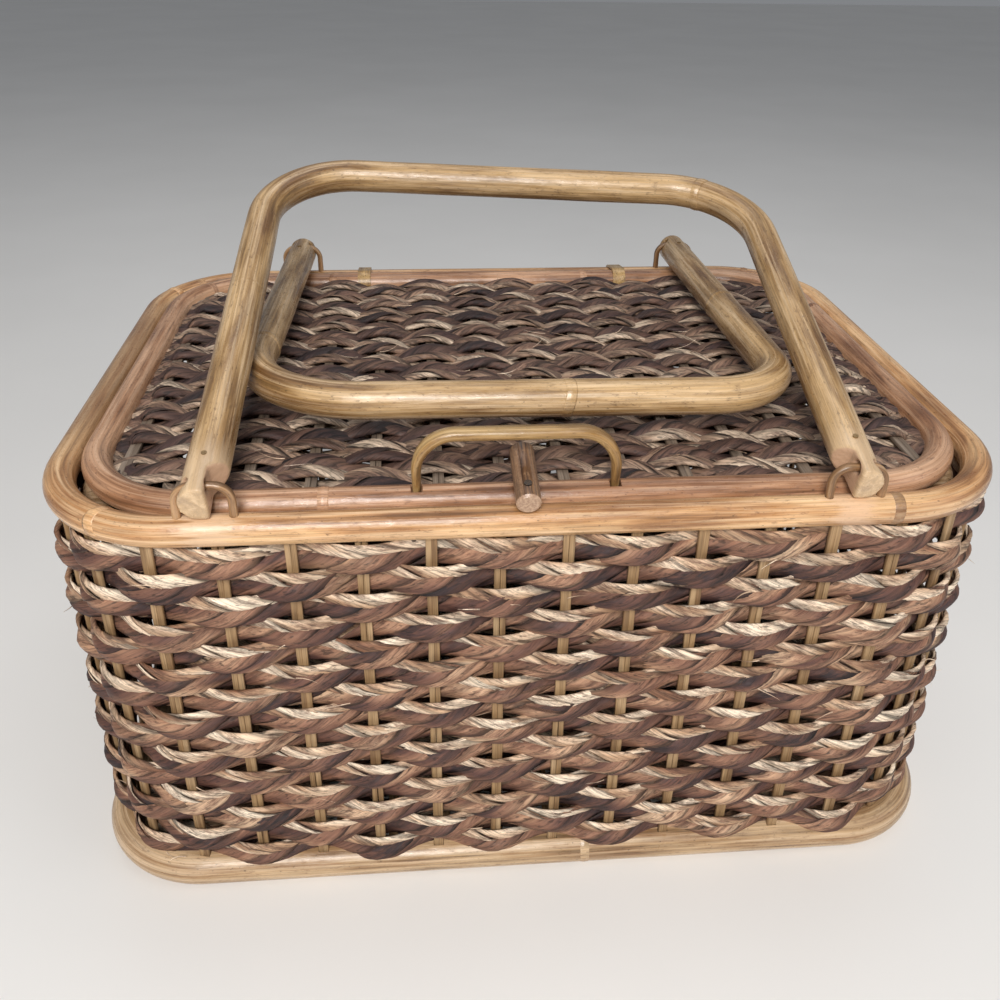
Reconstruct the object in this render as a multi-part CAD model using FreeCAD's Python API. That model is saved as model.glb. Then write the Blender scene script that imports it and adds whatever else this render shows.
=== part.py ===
import FreeCAD, Part
import math
import os

# A lidded rattan basket hamper. Millimetres, +Z up, +X to the right, front towards -Y.
# The origin is on the floor under the middle of the base ring.
V = FreeCAD.Vector

# ---- driving dimensions -------------------------------------------------------------------
rim_half_x = 230.0          # centre line of the rim pole, from the middle to the side
rim_half_y = 169.5
rim_corner = 64.0
rim_radius = 7.45
rim_z = 227.5

base_radius = 10.0
base_half_x = 232.3
base_half_y = 171.8
base_corner = 52.0
base_wear = 0.2             # worn off the underside, so the ring stands on a narrow flat

lid_inset = 15.5            # lid pole's centre line inside the rim pole's centre line
lid_radius = 7.3
lid_z = 230.5
lid_corner = 58.0

ledge_inset = 13.2          # inner pole that the lid rests on
ledge_radius = 4.5
ledge_z = 218.6

weave_out = 11.5            # the braids' outer face, outside the rim's centre line
weave_in = 5.5              # their inner face, inside it
weave_bottom = 20.3
weave_top = 217.8
lid_weave_z = (225.0, 236.0, 240.0)
lid_crown_inset = 45.0
base_weave_z = (4.0, 16.0)
panel_gap = 0.5             # between a woven panel and the ring around it

reed_width = 2.65           # each stake is a pair of flat reeds, side by side
reed_thick = 2.4
reed_slot = 0.1             # clearance around a stake
front_stakes = 12
side_stakes = 12
front_pitch = 31.65
stake_shift = -4.6          # the stakes sit a little left of centre
stake_top = 224.5
stake_bottom = 16.0
stake_out = 1.0             # a stake leaves the rim this far outside its centre line
stake_lean = 1.0            # degrees; the walls spread a little towards the base
panel_stakes = 14           # stakes of the lid and of the base, front to back
panel_pitch = 30.0
panel_shift = -2.6
base_bite = 4.0             # how far short of a ring's centre line its stakes stop
lid_bite = 2.5

handle_radius = 9.4
foot_drop = 4.2             # leg's centre line below the arch that carries it
foot_past_pivot = 8.0
foot_nose_radius = 14.6
foot_side_room = 3.0        # the cutters of a foot reach this far past its sides
eye_radius = 3.3
notch_outline = ((2.6, -20.0), (12.5, -20.0), (12.5, 17.0), (2.6, 7.0))  # inward, along the leg
front_handle = {
    "name": "front_handle", "side": -1, "pivot_z": 250.0, "lean": 74.0,
    "feet": (-150.5, 144.0), "tops": (-141.5, 152.0), "legs": (275.0, 248.0), "bends": (50.0, 54.0),
    "notched": True,
}
rear_handle = {
    "name": "rear_handle", "side": 1, "pivot_z": 252.0, "lean": 87.9,
    "feet": (-136.5, 138.5), "tops": (-142.0, 133.5), "legs": (272.0, 277.5), "bends": (60.0, 42.0),
    "notched": False,
}

arch_rod = 2.0              # radius of the cane in the arches that carry the handles
arch_half_span = 12.3
arch_bend = 5.0
arch_root_z = 228.5
arch_hole_depth = 20.0
tack_radius = 0.65
tack_length = 6.0
tack_head_thick = 0.9
tack_sink = 0.3             # the shank starts inside the head
tack_proud = 0.5            # the head stands this far out of the leg
tack_above_pivot = 15.0

pull_feet = (-58.0, 34.0)
pull_width = 7.4
pull_thick = 5.4
pull_bend = 20.0
pull_top = 266.5
pull_root = 232.0
pull_rounding = 1.0

button_radius = 5.75
button_front = 8.0          # from the nail to the button's front end
button_rear = 29.0
button_tilt = 13.0
button_edge = 1.1           # bevel round both sawn ends
button_nail = V(-8.7, -169.0, 241.7)
nail_radius = 1.0
nail_bore = 1.06
nail_head = 1.8
nail_sink = 0.5             # the head is let into the button's top
nail_head_thick = 0.9
nail_length = 17.0
nail_hole_gap = 0.02
nail_seat_gap = 0.2         # round the nail's head

band_centres = (-92.0, 94.0)
band_width = 9.0
band_thick = 1.4
band_gap = 0.3

pin_radius = 1.1
pin_x = 60.0
pin_y = 62.0
pin_end = 1.0               # a pin starts this far inside the ledge pole's centre line

fit_gap = 0.05              # round a piece that is set in a hole
end_gap = 0.1               # past the end of a piece that is set in a hole


# ---- helpers ------------------------------------------------------------------------------
def write(name, solids):
    shape = solids[0] if len(solids) == 1 else Part.Compound(solids)
    shape.exportStep(os.path.join("parts", name + ".step"))


def one_solid(shape):
    """The single solid of a boolean result, with its seams merged."""
    solids = shape.removeSplitter().Solids
    return max(solids, key=lambda solid: solid.Volume)


def pole_ring(half_x, half_y, corner, radius, z):
    """A round pole bent into a rounded rectangle and joined to itself."""
    in_x = half_x - corner
    in_y = half_y - corner
    shapes = []
    for sign in (-1, 1):
        start = V(-in_x, sign * half_y, z)
        shapes.append(Part.makeCylinder(radius, 2 * in_x, start, V(1, 0, 0)))
        start = V(sign * half_x, -in_y, z)
        shapes.append(Part.makeCylinder(radius, 2 * in_y, start, V(0, 1, 0)))
    for turn in range(4):
        sign_x = 1 if turn in (0, 3) else -1
        sign_y = 1 if turn in (0, 1) else -1
        centre = V(sign_x * in_x, sign_y * in_y, z)
        bend = Part.makeTorus(corner, radius, V(0, 0, 0), V(0, 0, 1), -180, 180, 90)
        bend.rotate(V(0, 0, 0), V(0, 0, 1), 90 * turn)
        bend.translate(centre)
        shapes.append(bend)
    return one_solid(shapes[0].multiFuse(shapes[1:]))


def rounded_plan(half_x, half_y, corner, z):
    """Closed rounded-rectangle wire at one height."""
    in_x = half_x - corner
    in_y = half_y - corner
    edges = []
    corners = ((in_x, -in_y, -90), (in_x, in_y, 0), (-in_x, in_y, 90), (-in_x, -in_y, 180))
    for x, y, start in corners:
        edges.append(Part.makeCircle(corner, V(x, y, z), V(0, 0, 1), start, start + 90))
    wire_edges = []
    for index, arc in enumerate(edges):
        following = edges[(index + 1) % 4]
        wire_edges.append(arc)
        wire_edges.append(Part.makeLine(arc.lastVertex().Point, following.firstVertex().Point))
    return Part.Wire(wire_edges)


def slab(half_x, half_y, corner, z_low, z_high):
    face = Part.Face(rounded_plan(half_x, half_y, corner, z_low))
    return face.extrude(V(0, 0, z_high - z_low))


def rim_point(distance):
    """Point and heading on the rim's centre line, from the front middle towards +X."""
    in_x = rim_half_x - rim_corner
    in_y = rim_half_y - rim_corner
    quarter = math.pi * rim_corner / 2
    around = 4 * (in_x + in_y + quarter)
    left = distance % around
    runs = (
        (in_x, V(0, -rim_half_y, 0), 0),
        (2 * in_y, V(rim_half_x, -in_y, 0), 90),
        (2 * in_x, V(in_x, rim_half_y, 0), 180),
        (2 * in_y, V(-rim_half_x, in_y, 0), 270),
        (in_x, V(-in_x, -rim_half_y, 0), 0),
    )
    centres = (V(in_x, -in_y, 0), V(in_x, in_y, 0), V(-in_x, in_y, 0), V(-in_x, -in_y, 0))
    for index, (length, start, heading) in enumerate(runs):
        if left <= length or index == 4:
            angle = math.radians(heading)
            return start + V(math.cos(angle), math.sin(angle), 0) * left, heading
        left -= length
        if left < quarter:
            heading = heading + math.degrees(left / rim_corner)
            angle = math.radians(heading - 90)
            return centres[index] + V(math.cos(angle), math.sin(angle), 0) * rim_corner, heading
        left -= quarter


def stake_places():
    """Distance along the rim of every wall stake, grouped by wall."""
    in_x = rim_half_x - rim_corner
    in_y = rim_half_y - rim_corner
    around = 4 * (in_x + in_y + math.pi * rim_corner / 2)
    row = (front_stakes - 1) * front_pitch
    side_pitch = (around / 2 - row) / (side_stakes + 1)
    first = stake_shift - row / 2
    front = [first + i * front_pitch for i in range(front_stakes)]
    right = [front[-1] + (i + 1) * side_pitch for i in range(side_stakes)]
    back = [first + around / 2 + i * front_pitch for i in range(front_stakes)]
    left = [back[-1] + (i + 1) * side_pitch for i in range(side_stakes)]
    return {"front_stakes": front, "right_stakes": right, "back_stakes": back, "left_stakes": left}


def upright_box(distance, width, thick, offset, z_low, z_high):
    """A box standing at a stake's place, its width along the wall and leaning as the wall does."""
    point, heading = rim_point(distance)
    corner = V(offset - width / 2, -thick / 2 - stake_out, z_low)
    box = Part.makeBox(width, thick, z_high - z_low, corner)
    box.rotate(V(0, 0, rim_z), V(1, 0, 0), -stake_lean)
    box.rotate(V(0, 0, 0), V(0, 0, 1), heading)
    box.translate(point)
    return box


def wall_stake(distance):
    half = (reed_width + reed_slot) / 2
    return [
        upright_box(distance, reed_width, reed_thick, side * half, stake_bottom, stake_top)
        for side in (-1, 1)
    ]


def wall_slot(distance):
    width = 2 * reed_width + 3 * reed_slot
    thick = reed_thick + 2 * reed_slot
    return upright_box(distance, width, thick, 0, stake_bottom - reed_slot, stake_top + reed_slot)


def ring_reach(x, half_x, half_y, corner):
    """How far back a ring's centre line runs at a given x."""
    past = abs(x) - (half_x - corner)
    if past <= 0:
        return half_y
    return half_y - corner + math.sqrt(corner ** 2 - past ** 2)


def panel_stake_rows(half_x, half_y, corner, bite, z, slot):
    """Reed pairs (or their slots) that run front to back across the lid or the base."""
    boxes = []
    for index in range(panel_stakes):
        x = panel_shift + (index - (panel_stakes - 1) / 2) * panel_pitch
        reach = ring_reach(x, half_x, half_y, corner) - bite + slot
        if slot:
            width = 2 * reed_width + 3 * slot
            thick = reed_thick + 2 * slot
            boxes.append(Part.makeBox(width, 2 * reach, thick, V(x - width / 2, -reach, z - thick / 2)))
            continue
        for side in (-1, 1):
            left = x + side * (reed_width + reed_slot) / 2 - reed_width / 2
            corner_point = V(left, -reach, z - reed_thick / 2)
            boxes.append(Part.makeBox(reed_width, 2 * reach, reed_thick, corner_point))
    return boxes


def wire_with_bends(points, bends):
    """Straight runs joined by tangent arcs: one bend radius for each inner point."""
    edges = []
    here = points[0]
    for before, point, after, radius in zip(points, points[1:], points[2:], bends):
        into = (point - before).normalize()
        out = (after - point).normalize()
        half_turn = into.getAngle(out) / 2
        trim = radius * math.tan(half_turn)
        start = point - into * trim
        end = point + out * trim
        inward = (out - into).normalize()
        middle = point + inward * (radius / math.cos(half_turn) - radius)
        edges.append(Part.makeLine(here, start))
        edges.append(Part.Arc(start, middle, end).toShape())
        here = end
    edges.append(Part.makeLine(here, points[-1]))
    return Part.Wire(edges)


def sweep(wire, profile):
    return wire.makePipeShell([profile], True, False)


# ---- handles and the arches that carry them -----------------------------------------------
def handle_frame(handle):
    """Pivot point, direction along the legs, and the direction the legs are set down by."""
    lean = math.radians(handle["lean"])
    inward = -handle["side"]
    along = V(0, inward * math.sin(lean), math.cos(lean))
    down = V(0, inward * math.cos(lean), -math.sin(lean))
    pivot = V(0, handle["side"] * rim_half_y, handle["pivot_z"])
    return pivot, along, down


def handle_pole(handle):
    pivot, along, down = handle_frame(handle)
    centre = pivot + down * foot_drop
    left_foot, right_foot = handle["feet"]
    left_top, right_top = handle["tops"]
    left_leg, right_leg = handle["legs"]
    left_run = (V(left_top - left_foot, 0, 0) + along * left_leg).normalize()
    right_run = (V(right_top - right_foot, 0, 0) + along * right_leg).normalize()
    points = [
        centre + V(left_foot, 0, 0) - left_run * foot_past_pivot,
        centre + V(left_top, 0, 0) + along * left_leg,
        centre + V(right_top, 0, 0) + along * right_leg,
        centre + V(right_foot, 0, 0) - right_run * foot_past_pivot,
    ]
    wire = wire_with_bends(points, handle["bends"])
    pole = Part.Solid(sweep(wire, Part.Wire(Part.makeCircle(handle_radius, points[0], left_run))))
    for foot in handle["feet"]:
        pole = round_foot(pole, pivot + V(foot, 0, 0), along)
        if handle["notched"]:
            pole = pole.cut(foot_notch(pivot + V(foot, 0, 0), math.copysign(1, -foot), along, down))
    return one_solid(pole.cut(Part.Compound(tack_solids(handle, fit_gap))))


def round_foot(pole, pivot, along):
    """Give the foot its eye for the arch and a nose rounded about the same axis."""
    half = handle_radius + foot_side_room
    reach = 3 * foot_nose_radius
    start = pivot - V(half, 0, 0)
    beyond = Part.makeBox(2 * half, 2 * reach, reach, V(0, -reach, -reach))
    beyond.Placement = FreeCAD.Placement(start, FreeCAD.Rotation(V(0, 0, 1), along))
    nose = Part.makeCylinder(foot_nose_radius, 2 * half, start, V(1, 0, 0))
    eye = Part.makeCylinder(eye_radius, 2 * half, start, V(1, 0, 0))
    return pole.cut(beyond.cut(nose)).cut(eye)


def foot_notch(pivot, inward, along, down):
    """Cuts a foot's inner side away round the arch, which leaves a tongue to carry it."""
    half = 2 * foot_nose_radius
    corners = [pivot + V(inward * x, 0, 0) + along * run - down * half for x, run in notch_outline]
    outline = Part.makePolygon(corners + corners[:1])
    return Part.Face(outline).extrude(down * 2 * half)


def tack_solids(handle, grow):
    """The tacks that hold each leg's folded skin, on the outward side of the foot."""
    pivot, along, down = handle_frame(handle)
    tacks = []
    for foot, top, leg in zip(handle["feet"], handle["tops"], handle["legs"]):
        lean_in = (top - foot) / leg * tack_above_pivot
        axis = pivot + V(foot + lean_in, 0, 0) + along * tack_above_pivot
        surface = axis + down * (foot_drop - handle_radius)
        shank = Part.makeCylinder(tack_radius + grow, tack_length, surface - down * tack_sink, down)
        head_top = surface - down * tack_proud
        head = Part.makeCylinder(2 * tack_radius + grow, tack_head_thick, head_top, down)
        tacks.append(one_solid(shank.fuse(head)))
    return tacks


def arch(handle, x, root_z):
    """A cane staple over the rim: two legs set in the pole and a round top."""
    y = handle["side"] * rim_half_y
    top = handle["pivot_z"]
    points = [
        V(x - arch_half_span, y, root_z),
        V(x - arch_half_span, y, top),
        V(x + arch_half_span, y, top),
        V(x + arch_half_span, y, root_z),
    ]
    wire = wire_with_bends(points, (arch_bend, arch_bend))
    return Part.Solid(sweep(wire, Part.Wire(Part.makeCircle(arch_rod, points[0], V(0, 0, 1)))))


def arch_holes():
    holes = []
    for handle in (front_handle, rear_handle):
        for x in handle["feet"]:
            for side in (-1, 1):
                foot = V(x + side * arch_half_span, handle["side"] * rim_half_y, arch_root_z - end_gap)
                holes.append(Part.makeCylinder(arch_rod + fit_gap, arch_hole_depth, foot, V(0, 0, 1)))
    return holes


# ---- lid pull, turn button, hinge bands, ledge pins ---------------------------------------
def pull_solid(grow=0.0):
    y = -(rim_half_y - lid_inset)
    centre_z = pull_top - pull_thick / 2
    left, right = pull_feet
    points = [V(left, y, pull_root), V(left, y, centre_z), V(right, y, centre_z), V(right, y, pull_root)]
    wire = wire_with_bends(points, (pull_bend, pull_bend))
    half_x = pull_thick / 2 + grow
    half_y = pull_width / 2 + grow
    signs = ((-1, -1), (1, -1), (1, 1), (-1, 1))
    corners = [V(left + i * half_x, y + j * half_y, pull_root) for i, j in signs]
    solid = Part.Solid(sweep(wire, Part.makePolygon(corners + corners[:1])))
    if grow:
        return solid
    long_edges = [edge for edge in solid.Edges if edge.Length > 2 * pull_width]
    return solid.makeFillet(pull_rounding, long_edges)


def button_frame():
    tilt = math.radians(button_tilt)
    along = V(0, math.cos(tilt), math.sin(tilt))
    up = V(0, -math.sin(tilt), math.cos(tilt))
    return along, up


def turn_button():
    along, up = button_frame()
    front = button_nail - along * button_front
    body = Part.makeCylinder(button_radius, button_front + button_rear, front, along)
    rims = [edge for edge in body.Edges if edge.Closed]
    body = body.makeChamfer(button_edge, rims)
    bore = Part.makeCylinder(nail_bore, 4 * button_radius, button_nail - up * 2 * button_radius, up)
    seat_floor = button_nail + up * (button_radius - nail_sink - end_gap)
    seat = Part.makeCylinder(nail_head + nail_seat_gap, button_radius, seat_floor, up)
    return one_solid(body.cut(bore).cut(seat))


def nail():
    _, up = button_frame()
    under_head = button_nail + up * (button_radius - nail_sink)
    shank = Part.makeCylinder(nail_radius, nail_length, under_head, up * -1)
    head = Part.makeCylinder(nail_head, nail_head_thick, under_head, up)
    return one_solid(shank.fuse(head))


def nail_hole():
    _, up = button_frame()
    under_head = button_nail + up * (button_radius - nail_sink)
    return Part.makeCylinder(nail_radius + nail_hole_gap, nail_length + end_gap, under_head, up * -1)


def band_core(x, grow):
    """What a hinge band encloses: the rim's back pole and the lid's back pole."""
    outer_pole = V(x - band_width / 2, rim_half_y, rim_z)
    lid_pole = V(x - band_width / 2, rim_half_y - lid_inset, lid_z)
    return stadium(outer_pole, rim_radius + grow, lid_pole, lid_radius + grow)


def hinge_band(x):
    return one_solid(band_core(x, band_gap + band_thick).cut(band_core(x, band_gap)))


def band_notches():
    """Room for the hinge bands where they pass the lid's weave and the ledge."""
    return [band_core(x, band_gap + band_thick + end_gap) for x in band_centres]


def stadium(first, first_radius, second, second_radius):
    """The solid that a band drawn tight around two round poles encloses, along X."""
    across = second - first
    distance = across.Length
    tip = math.acos((first_radius - second_radius) / distance)
    base = math.atan2(across.z, across.y)

    def on_circle(centre, radius, angle):
        return centre + V(0, math.cos(angle), math.sin(angle)) * radius

    a_up = on_circle(first, first_radius, base + tip)
    a_far = on_circle(first, first_radius, base + math.pi)
    a_low = on_circle(first, first_radius, base - tip)
    b_up = on_circle(second, second_radius, base + tip)
    b_far = on_circle(second, second_radius, base)
    b_low = on_circle(second, second_radius, base - tip)
    edges = [
        Part.Arc(a_up, a_far, a_low).toShape(),
        Part.makeLine(a_low, b_low),
        Part.Arc(b_low, b_far, b_up).toShape(),
        Part.makeLine(b_up, a_up),
    ]
    return Part.Face(Part.Wire(edges)).extrude(V(band_width, 0, 0))


def ledge_pins(radius):
    """Short pins from the wall's stakes into the ledge pole, two on each wall."""
    half_x = rim_half_x - ledge_inset
    half_y = rim_half_y - ledge_inset
    pins = []
    for sign in (-1, 1):
        for x in (-pin_x, pin_x):
            start = V(x, sign * (half_y - pin_end), ledge_z)
            pins.append(Part.makeCylinder(radius, ledge_inset + pin_end, start, V(0, sign, 0)))
        for y in (-pin_y, pin_y):
            start = V(sign * (half_x - pin_end), y, ledge_z)
            pins.append(Part.makeCylinder(radius, ledge_inset + pin_end, start, V(sign, 0, 0)))
    return pins


# ---- woven panels -------------------------------------------------------------------------
def straight_panel(length, sign, along_x, cutters):
    """One flat stretch of the woven wall, open only where its stakes stand."""
    thick = weave_out + weave_in
    height = weave_top - weave_bottom
    to_low_side = weave_in if sign > 0 else weave_out
    if along_x:
        start = V(-length / 2, sign * rim_half_y - to_low_side, weave_bottom)
        box = Part.makeBox(length, thick, height, start)
    else:
        start = V(sign * rim_half_x - to_low_side, -length / 2, weave_bottom)
        box = Part.makeBox(thick, length, height, start)
    return one_solid(box.cut(cutters))


def corner_panel(sign_x, sign_y, cutters):
    """One rounded corner of the woven wall."""
    centre = V(sign_x * (rim_half_x - rim_corner), sign_y * (rim_half_y - rim_corner), weave_bottom)
    start = {(1, 1): 0, (-1, 1): 90, (-1, -1): 180, (1, -1): 270}[(sign_x, sign_y)]
    height = weave_top - weave_bottom
    outer = Part.makeCylinder(rim_corner + weave_out, height, V(0, 0, 0), V(0, 0, 1), 90)
    inner = Part.makeCylinder(rim_corner - weave_in, height, V(0, 0, 0), V(0, 0, 1), 90)
    shell = outer.cut(inner)
    shell.rotate(V(0, 0, 0), V(0, 0, 1), start)
    shell.translate(centre)
    return one_solid(shell.cut(cutters))


def lid_panel():
    """The woven lid, slightly crowned, inside the lid ring."""
    half_x = rim_half_x - lid_inset - lid_radius - panel_gap
    half_y = rim_half_y - lid_inset - lid_radius - panel_gap
    corner = lid_corner - lid_radius - panel_gap
    low, shoulder, crown = lid_weave_z
    body = slab(half_x, half_y, corner, low, shoulder)
    inset = lid_crown_inset
    lower_wire = rounded_plan(half_x, half_y, corner, shoulder)
    upper_wire = rounded_plan(half_x - inset, half_y - inset, corner - inset / 2, crown)
    top = Part.makeLoft([lower_wire, upper_wire], True, True)
    return one_solid(body.fuse(top))


# ---- build --------------------------------------------------------------------------------
os.makedirs("parts", exist_ok=True)

walls = stake_places()
slots = [wall_slot(place) for group in walls.values() for place in group]
for wall_name, group in walls.items():
    write(wall_name, [reed for place in group for reed in wall_stake(place)])

rim = pole_ring(rim_half_x, rim_half_y, rim_corner, rim_radius, rim_z)
rim = rim.cut(Part.Compound(slots + arch_holes() + [nail_hole()]))
write("rim_ring", [one_solid(rim)])

base_slots = panel_stake_rows(base_half_x, base_half_y, base_corner, base_bite, base_radius, reed_slot)
base = pole_ring(base_half_x, base_half_y, base_corner, base_radius, base_radius - base_wear)
worn = slab(base_half_x + base_radius, base_half_y + base_radius, base_corner, -base_radius, 0)
write("base_ring", [one_solid(base.cut(Part.Compound(slots + base_slots + [worn])))])
write("base_stakes", panel_stake_rows(base_half_x, base_half_y, base_corner, base_bite, base_radius, 0))
base_panel = slab(
    base_half_x - base_radius - panel_gap,
    base_half_y - base_radius - panel_gap,
    base_corner - base_radius - panel_gap,
    *base_weave_z,
)
write("base_weave", [one_solid(base_panel.cut(Part.Compound(base_slots)))])

ledge = pole_ring(rim_half_x - ledge_inset, rim_half_y - ledge_inset, rim_corner - ledge_inset,
                  ledge_radius, ledge_z)
ledge_cutters = ledge_pins(pin_radius + fit_gap) + band_notches()
write("lid_ledge", [one_solid(ledge.cut(Part.Compound(ledge_cutters)))])
write("ledge_pins", ledge_pins(pin_radius))

lid_half_x = rim_half_x - lid_inset
lid_half_y = rim_half_y - lid_inset
lid_slots = panel_stake_rows(lid_half_x, lid_half_y, lid_corner, lid_bite, lid_z, reed_slot)
lid = pole_ring(lid_half_x, lid_half_y, lid_corner, lid_radius, lid_z)
write("lid_ring", [one_solid(lid.cut(Part.Compound(lid_slots + [pull_solid(fit_gap)])))])
write("lid_stakes", panel_stake_rows(lid_half_x, lid_half_y, lid_corner, lid_bite, lid_z, 0))
write("lid_weave", [one_solid(lid_panel().cut(Part.Compound(lid_slots + band_notches())))])
write("lid_pull", [pull_solid()])

wall_cutters = Part.Compound(slots + ledge_pins(pin_radius + fit_gap))
straight_x = 2 * (rim_half_x - rim_corner)
straight_y = 2 * (rim_half_y - rim_corner)
write("wall_weave_front", [straight_panel(straight_x, -1, True, wall_cutters)])
write("wall_weave_back", [straight_panel(straight_x, 1, True, wall_cutters)])
write("wall_weave_left", [straight_panel(straight_y, -1, False, wall_cutters)])
write("wall_weave_right", [straight_panel(straight_y, 1, False, wall_cutters)])
for side_name, sign_x in (("left", -1), ("right", 1)):
    for end_name, sign_y in (("front", -1), ("back", 1)):
        panel = corner_panel(sign_x, sign_y, wall_cutters)
        write("wall_weave_" + end_name + "_" + side_name + "_corner", [panel])

for handle in (front_handle, rear_handle):
    write(handle["name"], [handle_pole(handle)])
    write(handle["name"] + "_tacks", tack_solids(handle, 0.0))
    for side_name, x in zip(("left", "right"), handle["feet"]):
        write(handle["name"] + "_arch_" + side_name, [arch(handle, x, arch_root_z)])

for side_name, x in zip(("left", "right"), band_centres):
    write("hinge_band_" + side_name, [hinge_band(x)])

write("turn_button", [turn_button()])
write("button_nail", [nail()])
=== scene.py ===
import math

import bpy
import numpy as np
from mathutils import Matrix, Vector


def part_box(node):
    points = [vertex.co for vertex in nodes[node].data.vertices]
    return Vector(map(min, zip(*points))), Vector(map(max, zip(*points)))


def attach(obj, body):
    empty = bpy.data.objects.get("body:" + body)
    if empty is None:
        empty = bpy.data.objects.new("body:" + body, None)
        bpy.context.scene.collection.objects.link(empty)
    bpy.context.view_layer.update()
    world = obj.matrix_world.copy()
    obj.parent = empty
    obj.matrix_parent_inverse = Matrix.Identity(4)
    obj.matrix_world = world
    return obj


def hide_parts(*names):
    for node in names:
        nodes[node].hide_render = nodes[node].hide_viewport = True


# A lidded rattan basket hamper. Metres, +Z up, front towards -Y.
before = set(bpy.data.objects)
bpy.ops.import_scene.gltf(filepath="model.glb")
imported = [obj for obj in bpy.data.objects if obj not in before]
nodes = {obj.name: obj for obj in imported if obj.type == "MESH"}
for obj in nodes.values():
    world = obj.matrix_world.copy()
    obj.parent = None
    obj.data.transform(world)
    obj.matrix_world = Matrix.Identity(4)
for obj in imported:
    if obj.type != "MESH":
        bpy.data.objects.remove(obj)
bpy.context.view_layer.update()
MM = 0.001

# ---- what the frame gives
def ring_sizes(node, radius=None):
    """A ring's pole radius, its centre line's height and that line's half sizes in plan."""
    low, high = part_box(node)
    radius = radius or (high.z - low.z) / 2
    return radius, high.z - radius, high.x - radius, high.y - radius


RIM_R, RIM_Z, RIM_X, RIM_Y = ring_sizes("rim_ring")
LID_R, LID_Z, LID_X, LID_Y = ring_sizes("lid_ring")
BASE_R, BASE_Z, BASE_X, BASE_Y = ring_sizes("base_ring", 10 * MM)    # worn flat underneath
RIM_CORNER, LID_CORNER, BASE_CORNER = 64 * MM, 58 * MM, 52 * MM

weave_low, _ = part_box("wall_weave_front")
ROWS = 15
ROW_PITCH = 13.5 * MM
ROW_FIRST = weave_low.z + 2.7 * MM      # height of the lowest row's middle

REED_W = 2.65 * MM
REED_T = 2.4 * MM
PAIR_HALF = 2.7 * MM         # half the width of a stake, which is two reeds side by side
WALL_STAKES = 12
END_LEFT = 3.72 * MM         # from the front row's box to the middle of its end stakes, which
END_RIGHT = 3.01 * MM        # turn with the corners and lean out with the walls
STAKE_OUT = 1.0 * MM         # a stake leaves the rim this far outside its centre line
STAKE_LEAN = math.radians(1.0)
LINE_STEP = 2 * MM           # between the points of a pole's centre line
WOBBLE_OCTAVES = (1.0, 1.7, 2.9)
WOBBLE_PEAK = 1.6            # about as far as the octaves add up to


# ---- paths
def unit(vector):
    return vector / np.linalg.norm(vector)


def run_along(line):
    """Distance along a line at each of its points."""
    return np.concatenate([[0], np.cumsum(np.linalg.norm(np.diff(line, axis=0), axis=1))])


class RingPath:
    """Rounded rectangle in plan, run counterclockwise from the front middle."""

    # where each straight or quarter turn starts, in signs of in_x and in_y
    STARTS = np.array([(0, -1), (1, -1), (1, -1), (1, 1), (1, 1), (-1, 1), (-1, 1), (-1, -1), (-1, -1)])

    def __init__(self, half_x, half_y, corner):
        self.in_x = half_x - corner
        self.in_y = half_y - corner
        self.corner = corner
        quarter = math.pi * corner / 2
        self.runs = [self.in_x, quarter, 2 * self.in_y, quarter, 2 * self.in_x,
                     quarter, 2 * self.in_y, quarter, self.in_x]
        self.ends = np.cumsum([0.0] + self.runs)
        self.length = self.ends[-1]

    def at(self, s):
        """Plan point, outward direction and heading direction at distances s."""
        s = np.mod(s, self.length)
        leg = np.clip(np.searchsorted(self.ends, s, side="right") - 1, 0, 8)
        past = s - self.ends[leg]
        turns = np.where(leg % 2 == 1, past / self.corner, 0.0)
        angle = (leg // 2) * math.pi / 2 + turns
        head = np.stack([np.cos(angle), np.sin(angle)], -1)
        out = np.stack([head[..., 1], -head[..., 0]], -1)
        base = self.STARTS[leg] * np.array([self.in_x, self.in_y])
        straight = np.where((leg % 2 == 0)[..., None], past[..., None] * head, 0.0)
        return base + straight + out * self.corner, out, head


RIM_PATH = RingPath(RIM_X, RIM_Y, RIM_CORNER)


def stake_distances():
    """Distance along the rim path of each wall stake, as the CAD places them."""
    low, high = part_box("front_stakes")
    first = low.x + END_LEFT
    row = high.x - END_RIGHT - first
    pitch = row / (WALL_STAKES - 1)
    side_pitch = (RIM_PATH.length / 2 - row) / (WALL_STAKES + 1)
    places = []
    for half in range(2):
        start = first + half * RIM_PATH.length / 2
        places += [start + i * pitch for i in range(WALL_STAKES)]
        places += [places[-1] + (i + 1) * side_pitch for i in range(WALL_STAKES)]
    return np.array(places)


STAKES = stake_distances()


def wall_spread(z):
    """How far outside the rim's centre line the stakes stand at a height."""
    return STAKE_OUT + (RIM_Z - z) * math.tan(STAKE_LEAN)


def stake_phase(s):
    """How many stakes have been passed at distance s, as a smooth number."""
    length = RIM_PATH.length
    places = np.concatenate([STAKES - length, STAKES, STAKES + length])
    numbers = np.arange(-len(STAKES), 2 * len(STAKES))
    return np.interp(np.mod(s, length), places, numbers)


def smooth_wobble(rng, s, wave, amount, loop=None):
    """Smooth random variation along s, which closes on itself if loop is a length."""
    total = np.zeros_like(s)
    for octave in WOBBLE_OCTAVES:
        cycle = wave / octave
        if loop:
            cycle = loop / max(round(loop / cycle), 1)
        total += np.sin(2 * math.pi * s / cycle + rng.uniform(0, 6.28)) / octave
    return total * amount / WOBBLE_PEAK


# ---- meshes
def add_object(name, data):
    made = bpy.data.objects.new(name, data)
    bpy.context.scene.collection.objects.link(made)
    return made


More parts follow.
